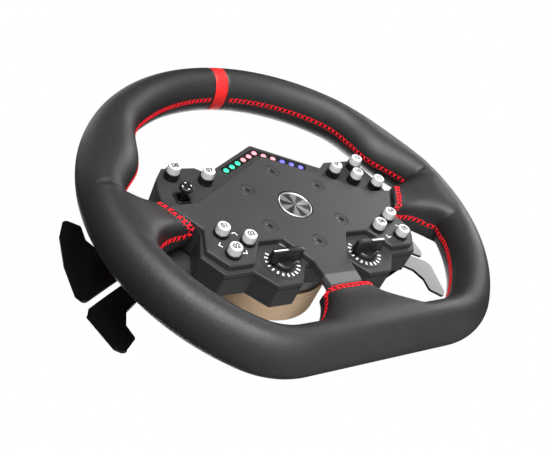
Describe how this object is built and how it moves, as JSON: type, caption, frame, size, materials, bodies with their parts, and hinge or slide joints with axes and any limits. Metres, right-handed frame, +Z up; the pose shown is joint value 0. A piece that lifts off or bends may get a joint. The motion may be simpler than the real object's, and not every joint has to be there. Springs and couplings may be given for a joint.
{
  "type": "racing wheel",
  "caption": "Flat-bottomed sim-racing steering wheel with leather rim, button housing, thumb stick, rotary knobs, shift paddles and a quick-release hub.",
  "frame": {"origin": "centre of the quick-release socket's mouth, on the wheel's axis", "axes": "+X to the driver's right, +Z up the wheel, +Y along the axis away from the driver, out of the socket"},
  "size_m": [0.3006, 0.0871, 0.2785],
  "materials": {
    "alloy": "sand-cast, bare",
    "foam": "moulded foam",
    "leather": "fine grain, semi-matt",
    "red_leather": "fine grain",
    "faceplate_metal": "satin dark grey anodised",
    "black_screw": "satin black oxide",
    "bright_metal": "polished",
    "spun_metal": "spun radial",
    "housing_plastic": "fine spark texture",
    "board": "solder mask",
    "switch_plastic": "moulded",
    "smoked_plastic": "polished",
    "green_lens": "clear, lit",
    "red_lens": "clear, lit",
    "blue_lens": "clear, lit",
    "collar_plastic": "semi-gloss",
    "cap_plastic": "satin white",
    "knob_plastic": "fine satin",
    "white_ink": "filled line",
    "hub_metal": "turned, anodised grey",
    "bronze_anodised": "turned, anodised bronze",
    "steel": "turned",
    "gold": "gold plated",
    "bracket_plastic": "fine spark texture",
    "paddle_metal": "satin black"
  },
  "bodies": {
    "wheel": {"rim_armature": "alloy", "rim_foam": "foam", "rim_leather": "leather", "centre_band": "red_leather", "faceplate": "faceplate_metal", "faceplate_screws": "black_screw", "badge_ring": "bright_metal", "badge_disc": "spun_metal", "front_housing": "housing_plastic", "rear_cover": "housing_plastic", "rear_cover_screws": "black_screw", "main_board": "board", "button_switches": "switch_plastic", "light_bar": "smoked_plastic", "lenses_green": "green_lens", "lenses_red": "red_lens", "lenses_blue": "blue_lens", "light_board": "board", "button_collars": "collar_plastic", "stick_case": "switch_plastic", "stick_ring": "collar_plastic", "dial_plates": "housing_plastic", "encoder_nuts": "steel", "encoder_bodies": "steel", "release_hub": "hub_metal", "locking_balls": "steel", "collar_spring": "steel", "contact_block": "switch_plastic", "contact_pins": "gold", "paddle_bracket_left": "bracket_plastic", "paddle_bracket_right": "bracket_plastic", "paddle_pins": "steel", "paddle_magnets": "steel", "paddle_switches": "switch_plastic"},
    "button_upper_left_1": {"button_upper_left_1": "cap_plastic"},
    "button_upper_left_2": {"button_upper_left_2": "cap_plastic"},
    "button_upper_right_1": {"button_upper_right_1": "cap_plastic"},
    "button_upper_right_2": {"button_upper_right_2": "cap_plastic"},
    "button_upper_right_3": {"button_upper_right_3": "cap_plastic"},
    "button_upper_right_4": {"button_upper_right_4": "cap_plastic"},
    "button_lower_left_1": {"button_lower_left_1": "cap_plastic"},
    "button_lower_left_2": {"button_lower_left_2": "cap_plastic"},
    "button_lower_left_3": {"button_lower_left_3": "cap_plastic"},
    "button_lower_right_1": {"button_lower_right_1": "cap_plastic"},
    "button_lower_right_2": {"button_lower_right_2": "cap_plastic"},
    "button_lower_right_3": {"button_lower_right_3": "cap_plastic"},
    "thumb_stick_yoke": {"stick_yoke": "switch_plastic"},
    "thumb_stick": {"stick_stem": "switch_plastic", "stick_cap": "knob_plastic"},
    "encoder_knob_left": {"knob_left": "knob_plastic", "knob_line_left": "white_ink", "encoder_shaft_left": "steel"},
    "encoder_knob_right": {"knob_right": "knob_plastic", "knob_line_right": "white_ink", "encoder_shaft_right": "steel"},
    "paddle_upper_left": {"paddle_upper_left": "paddle_metal"},
    "paddle_lower_left": {"paddle_lower_left": "paddle_metal"},
    "paddle_upper_right": {"paddle_upper_right": "paddle_metal"},
    "paddle_lower_right": {"paddle_lower_right": "paddle_metal"},
    "release_collar": {"release_collar": "bronze_anodised"}
  },
  "joints": [
    {"name": "press_upper_left_1", "type": "slide", "parent": "wheel", "child": "button_upper_left_1", "axis": [0, 1, 0], "range_m": [0, 0.0012], "stiffness_N_per_m": 900, "springref_m": -0.0006},
    {"name": "press_upper_left_2", "type": "slide", "parent": "wheel", "child": "button_upper_left_2", "axis": [0, 1, 0], "range_m": [0, 0.0012], "stiffness_N_per_m": 900, "springref_m": -0.0006},
    {"name": "press_upper_right_1", "type": "slide", "parent": "wheel", "child": "button_upper_right_1", "axis": [0, 1, 0], "range_m": [0, 0.0012], "stiffness_N_per_m": 900, "springref_m": -0.0006},
    {"name": "press_upper_right_2", "type": "slide", "parent": "wheel", "child": "button_upper_right_2", "axis": [0, 1, 0], "range_m": [0, 0.0012], "stiffness_N_per_m": 900, "springref_m": -0.0006},
    {"name": "press_upper_right_3", "type": "slide", "parent": "wheel", "child": "button_upper_right_3", "axis": [0, 1, 0], "range_m": [0, 0.0012], "stiffness_N_per_m": 900, "springref_m": -0.0006},
    {"name": "press_upper_right_4", "type": "slide", "parent": "wheel", "child": "button_upper_right_4", "axis": [0, 1, 0], "range_m": [0, 0.0012], "stiffness_N_per_m": 900, "springref_m": -0.0006},
    {"name": "press_lower_left_1", "type": "slide", "parent": "wheel", "child": "button_lower_left_1", "axis": [0, 1, 0], "range_m": [0, 0.0012], "stiffness_N_per_m": 900, "springref_m": -0.0006},
    {"name": "press_lower_left_2", "type": "slide", "parent": "wheel", "child": "button_lower_left_2", "axis": [0, 1, 0], "range_m": [0, 0.0012], "stiffness_N_per_m": 900, "springref_m": -0.0006},
    {"name": "press_lower_left_3", "type": "slide", "parent": "wheel", "child": "button_lower_left_3", "axis": [0, 1, 0], "range_m": [0, 0.0012], "stiffness_N_per_m": 900, "springref_m": -0.0006},
    {"name": "press_lower_right_1", "type": "slide", "parent": "wheel", "child": "button_lower_right_1", "axis": [0, 1, 0], "range_m": [0, 0.0012], "stiffness_N_per_m": 900, "springref_m": -0.0006},
    {"name": "press_lower_right_2", "type": "slide", "parent": "wheel", "child": "button_lower_right_2", "axis": [0, 1, 0], "range_m": [0, 0.0012], "stiffness_N_per_m": 900, "springref_m": -0.0006},
    {"name": "press_lower_right_3", "type": "slide", "parent": "wheel", "child": "button_lower_right_3", "axis": [0, 1, 0], "range_m": [0, 0.0012], "stiffness_N_per_m": 900, "springref_m": -0.0006},
    {"name": "stick_up_down", "type": "hinge", "parent": "wheel", "child": "thumb_stick_yoke", "pos_m": [-0.0794, -0.0626, 0.0176], "axis": [1, 0, 0], "range_deg": [-10, 10], "stiffness_Nm_per_rad": 0.03},
    {"name": "stick_left_right", "type": "hinge", "parent": "thumb_stick_yoke", "child": "thumb_stick", "pos_m": [-0.0794, -0.0626, 0.0176], "axis": [0, 0, 1], "range_deg": [-10, 10], "stiffness_Nm_per_rad": 0.03},
    {"name": "knob_left_turn", "type": "hinge", "parent": "wheel", "child": "encoder_knob_left", "pos_m": [-0.0348, -0.0736, -0.0462], "axis": [0, -1, 0], "continuous": true},
    {"name": "knob_right_turn", "type": "hinge", "parent": "wheel", "child": "encoder_knob_right", "pos_m": [0.0348, -0.0736, -0.0462], "axis": [0, -1, 0], "continuous": true},
    {"name": "paddle_upper_left_pull", "type": "hinge", "parent": "wheel", "child": "paddle_upper_left", "pos_m": [-0.06, -0.0246, 0], "axis": [0, 0, 1], "range_deg": [0, 6], "stiffness_Nm_per_rad": 1.2, "springref_deg": -8.59},
    {"name": "paddle_lower_left_pull", "type": "hinge", "parent": "wheel", "child": "paddle_lower_left", "pos_m": [-0.06, -0.0246, 0], "axis": [0, 0, 1], "range_deg": [0, 6], "stiffness_Nm_per_rad": 1.2, "springref_deg": -8.59},
    {"name": "paddle_upper_right_pull", "type": "hinge", "parent": "wheel", "child": "paddle_upper_right", "pos_m": [0.06, -0.0246, 0], "axis": [0, 0, -1], "range_deg": [0, 6], "stiffness_Nm_per_rad": 1.2, "springref_deg": -8.59},
    {"name": "paddle_lower_right_pull", "type": "hinge", "parent": "wheel", "child": "paddle_lower_right", "pos_m": [0.06, -0.0246, 0], "axis": [0, 0, -1], "range_deg": [0, 6], "stiffness_Nm_per_rad": 1.2, "springref_deg": -8.59},
    {"name": "release_collar_pull", "type": "slide", "parent": "wheel", "child": "release_collar", "axis": [0, -1, 0], "range_m": [0, 0.006], "stiffness_N_per_m": 2500, "springref_m": -0.002, "deforming": ["collar_spring"]}
  ]
}
